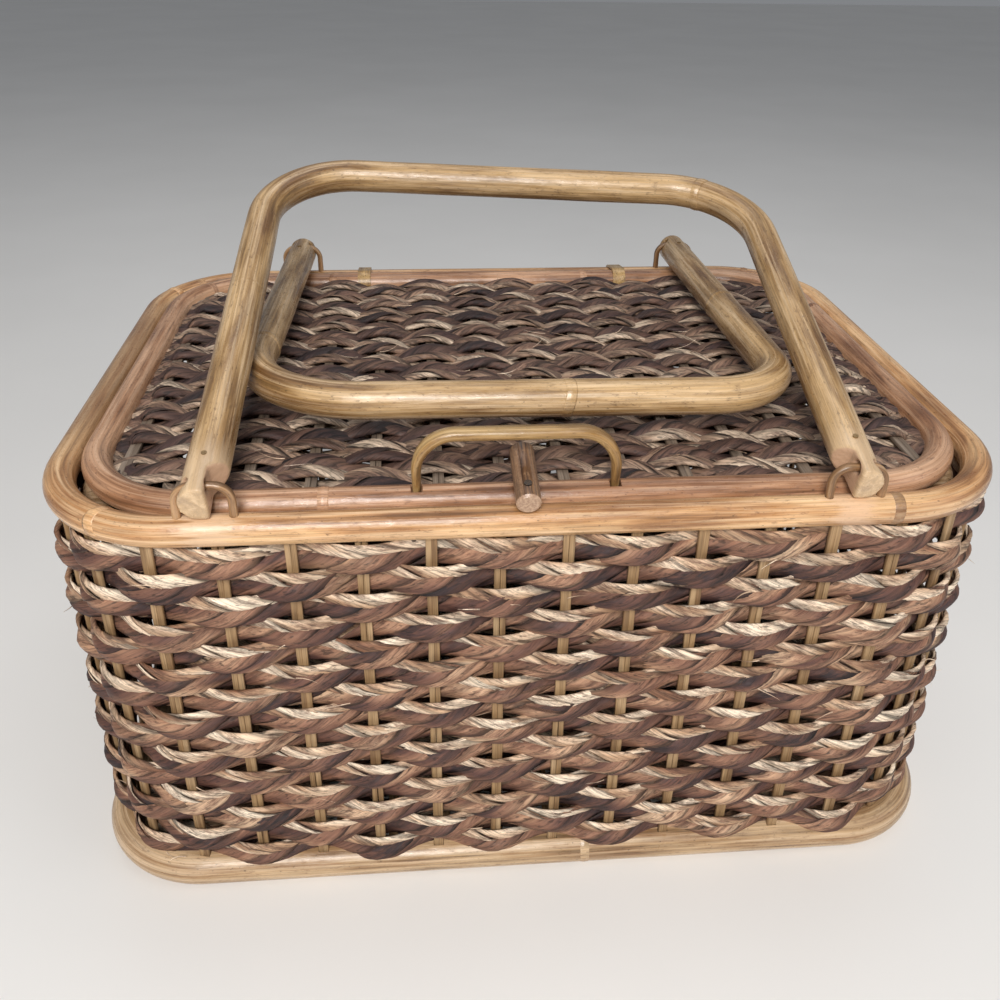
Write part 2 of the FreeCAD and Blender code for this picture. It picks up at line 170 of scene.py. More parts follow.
def grid_mesh(name, rings, closed, attributes):
    """Tubes from rings of points, shape (tubes, along, around, 3), capped or run round to close."""
    tubes, along, around = rings.shape[:3]
    points = rings.reshape(-1, 3)
    i = np.arange(along if closed else along - 1)
    j = np.arange(around)
    a, b = np.meshgrid(i, j, indexing="ij")
    a_next = (a + 1) % along
    b_next = (b + 1) % around
    quads = np.stack([a * around + b, a_next * around + b, a_next * around + b_next,
                      a * around + b_next], -1).reshape(-1, 4)
    faces = np.concatenate([quads + t * along * around for t in range(tubes)])
    loops = faces.reshape(-1)
    starts = np.arange(len(faces)) * 4
    if not closed:
        first = np.arange(tubes)[:, None] * along * around
        caps = np.concatenate([first + j, first + (along - 1) * around + j[::-1]], 1)
        starts = np.concatenate([starts, len(loops) + np.arange(2 * tubes) * around])
        loops = np.concatenate([loops, caps.reshape(-1)])
    mesh = bpy.data.meshes.new(name)
    mesh.vertices.add(len(points))
    mesh.vertices.foreach_set("co", points.astype(np.float32).reshape(-1))
    mesh.loops.add(len(loops))
    mesh.loops.foreach_set("vertex_index", loops.astype(np.int32))
    mesh.polygons.add(len(starts))
    mesh.polygons.foreach_set("loop_start", starts.astype(np.int32))
    mesh.update(calc_edges=True)
    mesh.validate()
    mesh.polygons.foreach_set("use_smooth", np.ones(len(mesh.polygons), bool))
    for attribute_name, values in attributes.items():
        put_attribute(mesh, attribute_name, values)
    return add_object(name, mesh)


def put_attribute(mesh, name, values):
    kind, field = ("FLOAT", "value") if values.ndim == 1 else ("FLOAT_VECTOR", "vector")
    attribute = mesh.attributes.new(name, kind, "POINT")
    attribute.data.foreach_set(field, values.astype(np.float32).reshape(-1))


def mesh_points(mesh):
    points = np.zeros(len(mesh.vertices) * 3, np.float32)
    mesh.vertices.foreach_get("co", points)
    return points.reshape(-1, 3)


def settle(piece, material, body, slot_name, *replaced):
    """Give a piece its material and the body it rides, and hide the nodes that it replaces. slot_name is
    not used.
    """
    piece.data.materials.append(material)
    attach(piece, body)
    if replaced:
        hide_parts(*replaced)
    return piece


# ---- braids
STRIPS = 3
BRAID_PERIOD = 62 * MM
STRIP_SPAN = 24.5 * MM      # a strip's width measured along the braid
STRIP_THICK = 0.8 * MM
OVER = 1.25 * MM            # how far a strip stands in front of the one it crosses
WALL_LEAN = 1.0 * MM        # the rising strips stand this much prouder
PANEL_LEAN = 0.5 * MM
ACROSS = 6                  # points across each face of a strip
NARROWING = 0.38            # a strip's width across its own length, against its span
STRIP_EDGE = STRIP_SPAN / 2 * NARROWING
FOLD = 0.985                # 1 would crease a strip at the braid's edges, less rounds the fold
CROSSING = 2.2              # how quickly a strip goes from the front of the braid to the back


def braid(name, place, length, closed, rng, half_height, along_step, lean, squeeze=None):
    """A flat plait of three bark strips along a route of this length.

    place(s, across, depth) gives world points and squeeze(s) narrows the plait. Each strip folds
    over at both edges, so its pale face shows on the way down and its dark face on the way up.
    """
    count = int(length / along_step)
    s = np.linspace(0, length, count, endpoint=not closed)
    turns = length / BRAID_PERIOD
    if closed:
        turns = round(turns)
    start = rng.uniform(0, 2 * math.pi)
    rings, strip_data, side_data = [], [], []

    def vary(wave, amount):
        """Smooth variation along a strip; the wave is in millimetres."""
        return smooth_wobble(rng, s, wave * MM, amount, length if closed else None)

    for number in range(STRIPS):
        drift = vary(190, 0.34)
        theta = 2 * math.pi * (turns * s / length + number / STRIPS) + start + drift
        half = half_height * (1 + vary(130, 0.07))
        if squeeze is not None:
            half = half * squeeze(s)
        span = STRIP_SPAN * (1 + vary(90, 0.16))
        over = OVER * (1 + vary(70, 0.25))
        rise = np.arcsin(FOLD * np.cos(theta)) / math.asin(FOLD)
        slope = -np.sin(theta) * FOLD / np.sqrt(1 - (FOLD * np.cos(theta)) ** 2) / math.asin(FOLD)
        twist = CROSSING * np.sin(2 * theta)
        depth = over * np.tanh(twist) - lean * np.sin(theta)
        pace = over * CROSSING * 2 * np.cos(2 * theta) / np.cosh(twist) ** 2 - lean * np.cos(theta)
        in_front = np.tanh(3 * np.sin(2 * theta))
        tangent = np.stack([half * slope, pace], -1)
        tangent /= np.linalg.norm(tangent, axis=1)[:, None] + 1e-12
        normal = np.stack([tangent[:, 1], -tangent[:, 0]], -1)
        tilt = (0.45 + vary(75, 0.5)) * MM
        curl = (0.1 + vary(42, 0.4)) * MM
        ridge = vary(26, 0.22 * MM)
        identity = rng.uniform(0, 50)
        columns = []
        for side in (0, 1):
            steps = np.linspace(-1, 1, ACROSS)
            for v in (steps if side == 0 else steps[::-1]):
                ragged = vary(17, 0.5 * MM) * abs(v) ** 3
                at = s + v * span / 2 + ragged
                thick = STRIP_THICK / 2 * (1 - 0.75 * v ** 4)
                lift = thick if side == 0 else -thick
                shingle = tilt * v * np.abs(np.sin(theta))
                if side == 0:
                    lift = lift + vary(11, 0.12 * MM)
                across = half * rise + normal[:, 0] * lift
                out = depth + normal[:, 1] * lift + shingle
                out = out + (curl * (1 - v * v) + ridge * math.sin(2.6 * v)) * in_front
                columns.append(place(at, across, out))
                strip_data.append(np.stack([s, np.full_like(s, v) * span / 2 * NARROWING,
                                            np.full_like(s, identity)], -1))
                side_data.append(np.full_like(s, side))
        rings.append(np.stack(columns, 1))
    rings = np.stack(rings)
    shape = (STRIPS, 2 * ACROSS, count)
    strip = np.stack(strip_data).reshape(*shape, 3).transpose(0, 2, 1, 3).reshape(-1, 3)
    side = np.stack(side_data).reshape(shape).transpose(0, 2, 1).reshape(-1)
    return grid_mesh(name, rings, closed, {"strip": strip, "side": side})


WEAVE_SWING = 4.5 * MM      # how far a row goes in and out round the stakes
PANEL_SWING = 3.7 * MM
HALF_HEIGHT = 7.7 * MM
BETWEEN_STAKES = 0.89       # of that half height
AT_STAKES = 0.14            # and this much more where a row passes a stake
ROW_RISE = 0.45 * MM        # a row sits this much higher in front of a stake, and lower behind


def wall_braid(row):
    rng = np.random.default_rng(100 + row)
    z = ROW_FIRST + row * ROW_PITCH
    sign = -1 if row % 2 == 0 else 1
    tilt = rng.uniform(-0.6, 0.6, 3) * MM

    def place(s, across, depth):
        point, out, _ = RIM_PATH.at(s)
        swing = sign * np.cos(math.pi * stake_phase(s))
        lap = 2 * math.pi * s / RIM_PATH.length
        wave = tilt[0] * np.sin(lap) + tilt[1] * np.sin(6 * lap + tilt[2] * 1000)
        xy = point + out * (swing * WEAVE_SWING + depth + wall_spread(z))[:, None]
        return np.stack([xy[:, 0], xy[:, 1], z + across + wave + swing * ROW_RISE], -1)

    def squeeze(s):
        return BETWEEN_STAKES + AT_STAKES * np.abs(np.cos(math.pi * stake_phase(s)))

    return braid("wall_braid_%02d" % (row + 1), place, RIM_PATH.length, True, rng,
                 HALF_HEIGHT, 2.1 * MM, WALL_LEAN, squeeze)


class PanelRows:
    """One braid laid to and fro across a panel, turning round the last stake of each row."""

    TURN_ROOM = 0.42    # of the pitch, left at a row's end for the turn

    def __init__(self, half_x, half_y, corner, rows, pitch, stakes):
        lines = [(row - (rows - 1) / 2) * pitch for row in range(rows)]
        reach = [self.reach_x(y, half_x, half_y, corner) - pitch * self.TURN_ROOM for y in lines]
        points, phases = [], []
        side = 1
        for row, y in enumerate(lines):
            before = min(reach[max(row - 1, 0):row + 1])
            here, there = -side * before, side * min(reach[row:row + 2])
            x = np.linspace(here, there, int(abs(there - here) / MM))
            left, right = sorted((here, there))
            inside = np.where((stakes > left) & (stakes < right))[0]
            places = np.concatenate([[left], stakes[inside], [right]])
            numbers = np.concatenate([[inside[0] - 0.5], inside, [inside[-1] + 0.5]])
            sign = 1 if row % 2 == 0 else -1
            points.append(np.stack([x, np.full_like(x, y)], -1))
            phases.append(sign * np.cos(math.pi * np.interp(x, places, numbers)))
            if row < rows - 1:
                angle = np.linspace(-math.pi / 2, math.pi / 2, 22)[1:-1]
                turn_x = there + side * pitch / 2 * np.cos(angle)
                points.append(np.stack([turn_x, y + pitch / 2 + pitch / 2 * np.sin(angle)], -1))
                phases.append(np.zeros(len(angle)))
            side = -side
        self.points = np.concatenate(points)
        self.swing = np.concatenate(phases)
        self.s = run_along(self.points)
        self.length = self.s[-1]
        heading = np.gradient(self.points, axis=0)
        kernel = np.ones(5) / 5
        smooth = [np.convolve(np.pad(heading[:, k], 2, mode="edge"), kernel, "valid") for k in (0, 1)]
        heading = np.stack(smooth, -1)
        self.heading = heading / np.linalg.norm(heading, axis=1)[:, None]

    @staticmethod
    def reach_x(y, half_x, half_y, corner):
        """Half the width of a rounded rectangle at this y."""
        past = abs(y) - (half_y - corner)
        if past <= 0:
            return half_x
        return half_x - corner + math.sqrt(max(corner ** 2 - past ** 2, 0))

    def at(self, s):
        point = np.stack([np.interp(s, self.s, self.points[:, k]) for k in (0, 1)], -1)
        head = np.stack([np.interp(s, self.s, self.heading[:, k]) for k in (0, 1)], -1)
        head /= np.linalg.norm(head, axis=-1)[..., None] + 1e-9
        side = np.stack([-head[..., 1], head[..., 0]], -1)
        return point, side, np.interp(s, self.s, self.swing)


PANEL_STAKES = 14


def panel_stake_places(node):
    low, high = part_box(node)
    return np.linspace(low.x + PAIR_HALF, high.x - PAIR_HALF, PANEL_STAKES)


def dome(x, y, half_x, half_y, rise):
    """How far a panel bulges up at a place."""
    across = np.clip(1 - (x / half_x) ** 2, 0, 1)
    along = np.clip(1 - (y / half_y) ** 2, 0, 1)
    return rise * np.sqrt(across * along)


def panel_braid(name, path, mid_z, half_x, half_y, rise, seed, step, half_height):
    rng = np.random.default_rng(seed)

    def place(s, across, depth):
        point, side, swing = path.at(np.clip(s, 0, path.length))
        xy = point + side * across[:, None]
        z = mid_z + dome(xy[:, 0], xy[:, 1], half_x, half_y, rise) + swing * PANEL_SWING + depth
        return np.stack([xy[:, 0], xy[:, 1], z], -1)

    return braid(name, place, path.length, False, rng, half_height, step, PANEL_LEAN)


# ---- reeds
def reed(points, across, outward, rng):
    """One flat reed with rounded edges: its points, its width direction and its face direction."""
    count = len(points)
    run = run_along(points)
    half_profile = [(-1, 0.3), (-0.93, 0.9), (-0.75, 1), (0.75, 1), (0.93, 0.9), (1, 0.3)]
    profile = half_profile + [(-u, -v) for u, v in half_profile if abs(u) > 0.8]
    wide = REED_W / 2 * (1.04 + smooth_wobble(rng, run, 60 * MM, 0.03))
    drift = smooth_wobble(rng, run, 90 * MM, 0.12 * MM)
    columns, data = [], []
    identity = rng.uniform(0, 50)
    for u, v in profile:
        offset = (u * wide + drift)[:, None] * across + v * REED_T / 2 * outward
        columns.append(points + offset)
        data.append(np.stack([run, np.full(count, u * REED_W / 2), np.full(count, identity)], -1))
    return np.stack(columns, 1), np.stack(data, 1)


def reed_piece(node, reeds, material, slot):
    rings = np.stack([rings for rings, _ in reeds])
    data = np.stack([data for _, data in reeds]).reshape(-1, 3)
    piece = grid_mesh(node.replace("_", "_reed_"), rings, False, {"strip": data})
    settle(piece, material, "root", slot, node)


def wall_stake_piece(node, places, material):
    low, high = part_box(node)
    z = np.linspace(low.z, high.z, 34)
    rng = np.random.default_rng(len(node) + int(places[0] * 1000) % 97)
    reeds = []
    for s in places:
        point, out, head = (v[0] for v in RIM_PATH.at(np.array([s])))
        for side in (-1, 1):
            centre = point + head * side * (PAIR_HALF / 2)
            lean = smooth_wobble(rng, z, 160 * MM, 0.25 * MM)
            plan = centre + lean[:, None] * head + wall_spread(z)[:, None] * out
            points = np.column_stack([plan, z])
            reeds.append(reed(points, np.array([*head, 0.0]), np.array([*out, 0.0]), rng))
    reed_piece(node, reeds, material, "wall_reed")


def panel_stake_piece(node, mid_z, half_x, half_y, corner, bite, rise, material, slot):
    rng = np.random.default_rng(len(node))
    reeds = []
    for x in panel_stake_places(node):
        reach = PanelRows.reach_x(x, half_y, half_x, corner) - bite
        y = np.linspace(-reach, reach, 44)
        for side in (-1, 1):
            at_x = x + side * PAIR_HALF / 2
            z = mid_z + dome(at_x, y, half_x, half_y, rise)
            points = np.stack([np.full_like(y, at_x), y, z], -1)
            reeds.append(reed(points, np.array([1.0, 0, 0]), np.array([0, 0, 1.0]), rng))
    reed_piece(node, reeds, material, slot)


# ---- poles
def ring_line(path, z):
    s = np.arange(0, path.length, LINE_STEP)
    point, _, _ = path.at(s)
    return np.column_stack([point, np.full(len(s), z)]), np.array([0, 0, 1.0])


def even_points(line, step):
    """The same line with its points this far apart."""
    run = run_along(line)
    s = np.linspace(0, run[-1], int(run[-1] / step) + 1)
    return np.stack([np.interp(s, run, line[:, k]) for k in range(3)], -1)


def staple_line(node, radius, bend, step):
    """Centre line of a cane that goes up, across and down again in a node's box."""
    low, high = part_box(node)
    left, right, top = low.x + radius, high.x - radius, high.z - radius
    y = (low.y + high.y) / 2
    points = [np.array([left, y, low.z])]
    for centre_x, start, end in ((left + bend, math.pi, math.pi / 2),
                                 (right - bend, math.pi / 2, 0.0)):
        for angle in np.linspace(start, end, 16):
            across, up = bend * math.cos(angle), bend * math.sin(angle)
            points.append(np.array([centre_x + across, y, top - bend + up]))
    points.append(np.array([right, y, low.z]))
    return even_points(np.array(points), step)


# as the CAD has them, left then right: x of the legs' feet and tops, their lengths, the bends' radii
HANDLES = {
    "front_handle": dict(side=-1, pivot_z=250 * MM, lean=74.0, feet=(-150.5, 144.0),
                         tops=(-141.5, 152.0), legs=(275.0, 248.0), bends=(50.0, 54.0)),
    "rear_handle": dict(side=1, pivot_z=252 * MM, lean=87.9, feet=(-136.5, 138.5),
                        tops=(-142.0, 133.5), legs=(272.0, 277.5), bends=(60.0, 42.0)),
}
FOOT_DROP = 4.2 * MM        # a leg's centre line passes this far below its pivot
FOOT_PAST = 14 * MM         # and goes on this far past it
HANDLE_R = 9.4 * MM


def handle_line(name):
    """Centre line of a handle's pole, with its two bends, and the normal of its plane."""
    handle = HANDLES[name]
    side, lean = handle["side"], math.radians(handle["lean"])
    sideways = np.array([1.0, 0, 0])
    along = np.array([0, -side * math.sin(lean), math.cos(lean)])
    down = np.array([0, -side * math.cos(lean), -math.sin(lean)])
    centre = np.array([0, side * RIM_Y, handle["pivot_z"]]) + down * FOOT_DROP
    stops = []
    for foot, top, leg in zip(handle["feet"], handle["tops"], handle["legs"]):
        low = centre + sideways * foot * MM
        high = centre + sideways * top * MM + along * leg * MM
        low = low - unit(high - low) * FOOT_PAST
        stops.append((low, high))
    corners = [stops[0][0], stops[0][1], stops[1][1], stops[1][0]]
    line = [corners[0]]
    for before, corner, after, bend in zip(corners, corners[1:], corners[2:], handle["bends"]):
        into = unit(corner - before)
        out = unit(after - corner)
        half = math.acos(np.clip(into @ out, -1, 1)) / 2
        inward = unit(out - into)
        middle = corner + inward * bend * MM / math.cos(half)
        for angle in np.linspace(-half, half, 24):
            radial = -inward * math.cos(angle) + unit(into + out) * math.sin(angle)
            line.append(middle + radial * bend * MM)
    line.append(corners[3])
    return even_points(np.array(line), LINE_STEP), down


def unroll(obj, line, normal, closed, cut=0.0):
    """Store each point's place as if the pole were straight: along, and two across.

    An open pole's points also get their distance from the nearer end.
    """
    points = mesh_points(obj.data).astype(float)
    count = len(points)
    ends = np.roll(line, -1, axis=0) if closed else line[1:]
    starts = line if closed else line[:-1]
    steps = ends - starts
    sizes = np.linalg.norm(steps, axis=1)
    run = np.concatenate([[0], np.cumsum(sizes)])
    best = np.full(count, np.inf)
    along = np.zeros(count)
    offset = np.zeros((count, 3))
    heading = np.zeros((count, 3))
    for start, step, size, before in zip(starts, steps, sizes, run):
        share = np.clip((points - start) @ step / size ** 2, 0, 1)
        away = points - (start + share[:, None] * step)
        distance = np.einsum("ij,ij->i", away, away)
        nearer = distance < best
        best[nearer] = distance[nearer]
        along[nearer] = before + share[nearer] * size
        offset[nearer] = away[nearer]
        heading[nearer] = step / size
    if closed:
        along = np.mod(along - cut, run[-1])
    else:
        put_attribute(obj.data, "end", np.minimum(along, run[-1] - along))
    sideways = np.cross(heading, normal)
    values = np.stack([along, np.einsum("ij,ij->i", offset, sideways), offset @ normal], -1)
    put_attribute(obj.data, "pole", values)
    return along, offset


def grow_uneven(obj, along, offset, places, swell, seed):
    """Make a pole thicker or thinner along its length, as cane grows."""
    rng = np.random.default_rng(seed)
    change = np.interp(along, places, swell) + smooth_wobble(rng, along, 150 * MM, 0.012)
    moved = mesh_points(obj.data) + offset * change[:, None]
    obj.data.vertices.foreach_set("co", moved.astype(np.float32).reshape(-1))
    obj.data.update()


def plain_coordinates(obj, order):
    """For small bent canes: the streaks run along the first of these axes."""
    put_attribute(obj.data, "pole", mesh_points(obj.data)[:, list(order)].astype(float))


KNUCKLE_WIDTH = 7 * MM
KNUCKLE_PROFILE = [(-1, -0.6), (-0.62, 0.15), (-0.2, 0.75), (0.12, 1), (0.3, 0.45), (0.55, 0.55),
                   (1, -0.6), (0, -1.6)]     # along in half widths, out in swells
KNUCKLE_AROUND = 40


def knuckle(name, line, normal, closed, place, radius, swell, material, body, slot):
    """The raised ring where a leaf grew on the cane."""
    index = int(place / LINE_STEP) % len(line)
    ahead = unit(line[(index + 1) % len(line)] - line[index])
    side = np.cross(ahead, normal)
    rng = np.random.default_rng(int(place * 1000))
    skew = rng.uniform(-1.2, 1.2, 2) * MM
    angles = np.arange(KNUCKLE_AROUND) * 2 * math.pi / KNUCKLE_AROUND
    radial = np.cos(angles)[:, None] * side + np.sin(angles)[:, None] * normal
    shift = skew[0] * np.cos(angles) + skew[1] * np.sin(2 * angles)
    columns = []
    for along, height in KNUCKLE_PROFILE:
        reach = radius + height * swell
        columns.append(line[index] + radial * reach + ahead * (along * KNUCKLE_WIDTH / 2 + shift)[:, None])
    rings = np.stack(columns, 1)[None]
    rings[..., 2] = np.maximum(rings[..., 2], 0)    # worn flat where the object stands on it
    piece = grid_mesh(name, rings, True, {})
    unroll(piece, line, normal, closed)
    settle(piece, material, body, slot)


# ---- materials
class Shader:
    """Small helper to write node materials as code."""

    def __init__(self, name):
        self.material = bpy.data.materials.new(name)
        self.material.use_nodes = True
        self.tree = self.material.node_tree
        self.bsdf = self.tree.nodes["Principled BSDF"]

    def node(self, kind, **settings):
        made = self.tree.nodes.new("ShaderNode" + kind)
        for key, value in settings.items():
            setattr(made, key, value)
        return made

    def link(self, source, target):
        self.tree.links.new(source, target)

    def put(self, socket, value):
        if isinstance(value, bpy.types.NodeSocket):
            self.link(value, socket)
        else:
            socket.default_value = (*value, 1) if isinstance(value, tuple) else value

    def attribute(self, name, output="Fac"):
        return self.node("Attribute", attribute_name=name).outputs[output]

    def split(self, vector):
        made = self.node("SeparateXYZ")
        self.link(vector, made.inputs[0])
        return made.outputs[0], made.outputs[1], made.outputs[2]

    def math(self, operation, a, b=0.0, clamp=False):
        made = self.node("Math", operation=operation, use_clamp=clamp)
        self.put(made.inputs[0], a)
        self.put(made.inputs[1], b)
        return made.outputs[0]

    def noise(self, vector, stretch=None, scale=1.0, detail=3.0, rough=0.55):
        if stretch is not None:
            mapping = self.node("Mapping")
            self.link(vector, mapping.inputs["Vector"])
            mapping.inputs["Scale"].default_value = stretch
            vector = mapping.outputs[0]
        made = self.node("TexNoise")
        self.put(made.inputs["Vector"], vector)
        made.inputs["Scale"].default_value = scale
        made.inputs["Detail"].default_value = detail
        made.inputs["Roughness"].default_value = rough
        return made.outputs[0]

    def ramp(self, value, stops):
        made = self.node("ValToRGB")
        elements = made.color_ramp.elements
        while len(elements) < len(stops):
            elements.new(0.5)
        for element, (position, colour) in zip(elements, stops):
            element.position = position
            element.color = (*colour, 1)
        self.put(made.inputs[0], value)
        return made.outputs[0]

    def greys(self, value, *stops):
        return self.ramp(value, [(position, (level, level, level)) for position, level in stops])

    def mix(self, factor, a, b, mode="MIX"):
        made = self.node("Mix", data_type="RGBA", blend_type=mode)
        self.put(made.inputs[0], factor)
        self.put(made.inputs[6], a)
        self.put(made.inputs[7], b)
        return made.outputs[2]

    def shade(self, strength, colour, by):
        return self.mix(strength, colour, by, "MULTIPLY")

    def bump(self, height, distance, strength):
        made = self.node("Bump")
        made.inputs["Strength"].default_value = strength
        made.inputs["Distance"].default_value = distance
        self.put(made.inputs["Height"], height)
        return made.outputs[0]

    def finish(self, colour, roughness, normal, **fixed):
        self.put(self.bsdf.inputs["Base Color"], colour)
        self.put(self.bsdf.inputs["Roughness"], roughness)
        if normal is not None:
            self.link(normal, self.bsdf.inputs["Normal"])
        for key, value in fixed.items():
            self.bsdf.inputs[key.replace("_", " ")].default_value = value
        return self.material


def bark_material(name, pale, dark, grime, furrow):
    """Strips of dried bark: a paler inner face and a dark, blotchy outer face.

    furrow is how bright the darkest streak is, against the strip's own colour. Noise is stretched
    by (along the strip, across it, from one strip to the next).
    """
    sh = Shader(name)
    side = sh.attribute("side")
    along, across, apart = sh.split(sh.attribute("strip", "Vector"))
    apart = sh.math("ADD", apart, sh.math("MULTIPLY", side, 0.37))   # the two faces differ
    spread = sh.node("CombineXYZ")
    for value, socket in zip((along, across, apart), spread.inputs):
        sh.link(value, socket)
    where = spread.outputs[0]
    tone = sh.noise(where, (21, 45, 30), detail=2.0, rough=0.6)
    mottle = sh.noise(where, (110, 420, 30), detail=4.0, rough=0.75)
    fibre = sh.noise(where, (34, 1300, 30), detail=4.0, rough=0.75)
    vein = sh.noise(where, (14, 420, 30), detail=1.0)
    speck = sh.noise(where, (420, 800, 30), detail=2.0, rough=0.5)
    pale_face = sh.ramp(tone, list(zip((0.34, 0.43, 0.50, 0.60), pale)))
    dark_face = sh.ramp(tone, list(zip((0.36, 0.44, 0.52, 0.60, 0.68), dark)))
    colour = sh.mix(side, pale_face, dark_face)
    colour = sh.mix(sh.greys(mottle, (0.47, 0.0), (0.62, 0.75)), colour, grime)
    colour = sh.shade(0.85, colour, sh.greys(fibre, (0.38, furrow), (0.47, 0.92), (0.62, 1.25)))
    colour = sh.shade(0.7, colour, sh.greys(vein, (0.38, 0.6), (0.50, 1.08)))
    colour = sh.shade(0.75, colour, sh.greys(speck, (0.60, 1.0), (0.67, 0.25)))
    # painted shade: each strip darkens towards its edges, where it folds and tucks under its neighbours
    to_edge = sh.math("MULTIPLY", sh.math("ABSOLUTE", across), 1 / STRIP_EDGE)
    colour = sh.shade(0.9, colour, sh.greys(to_edge, (0.70, 1.0), (0.96, 0.32)))
    rough = sh.greys(mottle, (0.35, 0.48), (0.65, 0.8))
    height = sh.math("ADD", fibre, sh.math("MULTIPLY", mottle, 0.8))
    return sh.finish(colour, rough, sh.bump(height, 0.8 * MM, 0.9))


def reed_material(name, colours):
    """Flat reeds: fine straight grain along the reed."""
    sh = Shader(name)
    where = sh.attribute("strip", "Vector")
    grain = sh.noise(where, (28, 1900, 9), rough=0.6)
    tone = sh.noise(where, (22, 90, 17), detail=2.0)
    colour = sh.ramp(tone, [(0.3, colours[0]), (0.5, colours[1]), (0.7, colours[2])])
    colour = sh.shade(0.8, colour, sh.greys(grain, (0.3, 0.5), (0.6, 1.05)))
    rough = sh.greys(grain, (0.3, 0.7), (0.7, 0.5))
    return sh.finish(colour, rough, sh.bump(grain, 0.3 * MM, 0.7))


def window(sh, value, centre, half, soft):
    """1 within half of the centre, falling to 0 over soft."""
    away = sh.math("ABSOLUTE", sh.math("SUBTRACT", value, centre))
    over = sh.math("SUBTRACT", away, half)
    return sh.math("SUBTRACT", 1.0, sh.math("DIVIDE", over, soft), clamp=True)


def pole_material(name, colours, streaks, furrow=0.5, wear_and_shade_patches=(), cut_wood=None):
    """Rattan pole: streaks along the pole, cloudy tone, scuffs and a thin varnish.

    colours are dark, middle, pale, then the streaks' and the scuffs'; furrow is how bright the
    darkest streak is. Each patch is (place, half length, softness, colour, strength), for skin that is
    rubbed or stained and for painted shade; cut_wood is (radius, rubbed colour, cut colour) for a pole
    whose ends are rubbed and notched.
    """
    sh = Shader(name)
    where = sh.attribute("pole", "Vector")
    cloud = sh.noise(where, (13, 90, 90), rough=0.6)
    streak = sh.noise(where, (10, 380, 380), detail=4.0, rough=0.65)
    hair = sh.noise(where, (30, 1300, 1300), detail=2.0, rough=0.6)
    scuff = sh.noise(where, (150, 500, 500), detail=4.0, rough=0.75)
    speck = sh.noise(where, (420, 700, 700), detail=1.0)
    colour = sh.ramp(cloud, list(zip((0.36, 0.49, 0.62), colours)))
    colour = sh.mix(sh.greys(streak, (0.48, 0.0), (0.64, streaks)), colour, colours[3])
    colour = sh.mix(sh.greys(scuff, (0.57, 0.0), (0.68, 0.55)), colour, colours[4])
    colour = sh.shade(0.85, colour, sh.greys(streak, (0.34, furrow), (0.46, 1.0)))
    colour = sh.shade(0.7, colour, sh.greys(hair, (0.38, 0.72), (0.56, 1.08)))
    colour = sh.shade(0.8, colour, sh.greys(speck, (0.71, 1.0), (0.77, 0.4)))
    along, across, upward = sh.split(where)
    ragged = sh.math("MULTIPLY", sh.math("SUBTRACT", streak, 0.5), 0.05)
    # each patch lays its colour over a stretch of skin: rubbed skin, and painted shade such as the rim's
    # darkened left run
    for place, half, soft, wear_and_shade_colour, strength in wear_and_shade_patches:
        mask = window(sh, sh.math("ADD", along, ragged), place, half, soft)
        colour = sh.mix(sh.math("MULTIPLY", mask, strength), colour, wear_and_shade_colour)
    if cut_wood is not None:
        radius, wear_and_shade_colour, cut = cut_wood
        end = sh.attribute("end")
        mask = window(sh, sh.math("ADD", end, ragged), 0.0, 24 * MM, 16 * MM)
        colour = sh.mix(sh.math("MULTIPLY", mask, 0.5), colour, wear_and_shade_colour)
        reach = sh.math("SQRT", sh.math("ADD", sh.math("POWER", across, 2.0),
                                        sh.math("POWER", upward, 2.0)))
        depth = sh.math("SUBTRACT", radius - 0.3 * MM, reach)
        inside = sh.math("DIVIDE", depth, 0.5 * MM, clamp=True)
        notch = window(sh, end, 22 * MM, 12 * MM, 2 * MM)
        colour = sh.mix(sh.math("MULTIPLY", inside, notch), colour, cut)
    rough = sh.greys(scuff, (0.38, 0.25), (0.64, 0.55))
    height = sh.math("ADD", streak, sh.math("MULTIPLY", scuff, 0.6))
    normal = sh.bump(height, 0.7 * MM, 0.6)
    return sh.finish(colour, rough, normal, Coat_Weight=0.3, Coat_Roughness=0.22)


def dowel_material():
    """Dark stained dowel with rubbed spots and paler sawn ends."""
    sh = Shader("dark_dowel")
    where = sh.attribute("pole", "Vector")
    end = sh.attribute("end")
    grain = sh.noise(where, (60, 900, 900), rough=0.6)
    rub = sh.noise(where, (160, 420, 420), rough=0.7)
    colour = sh.ramp(grain, [(0.38, (0.05, 0.022, 0.01)), (0.5, (0.125, 0.058, 0.024)),
                             (0.64, (0.23, 0.12, 0.055))])
    colour = sh.mix(sh.greys(rub, (0.60, 0.0), (0.68, 0.5)), colour, (0.38, 0.22, 0.11))
    pores = sh.noise(where, (900, 900, 900), detail=2.0)
    sawn = sh.ramp(pores, [(0.36, (0.32, 0.19, 0.12)), (0.62, (0.48, 0.32, 0.21))])
    colour = sh.mix(window(sh, end, 0.0, 0.9 * MM, 0.3 * MM), colour, sawn)
    rough = sh.greys(rub, (0.4, 0.32), (0.65, 0.6))
    normal = sh.bump(sh.math("ADD", grain, rub), 0.4 * MM, 0.6)
    return sh.finish(colour, rough, normal, Coat_Weight=0.2)


def nail_material(name, dull, bright):
    """Small metal heads, dull where they have tarnished."""
    sh = Shader(name)
    where = sh.node("NewGeometry").outputs["Position"]
    rust = sh.noise(where, scale=1400)
    colour = sh.ramp(rust, [(0.42, dull), (0.6, bright)])
    rough = sh.greys(rust, (0.4, 0.35), (0.6, 0.7))
    return sh.finish(colour, rough, sh.bump(rust, 0.15 * MM, 0.6), Metallic=0.85)


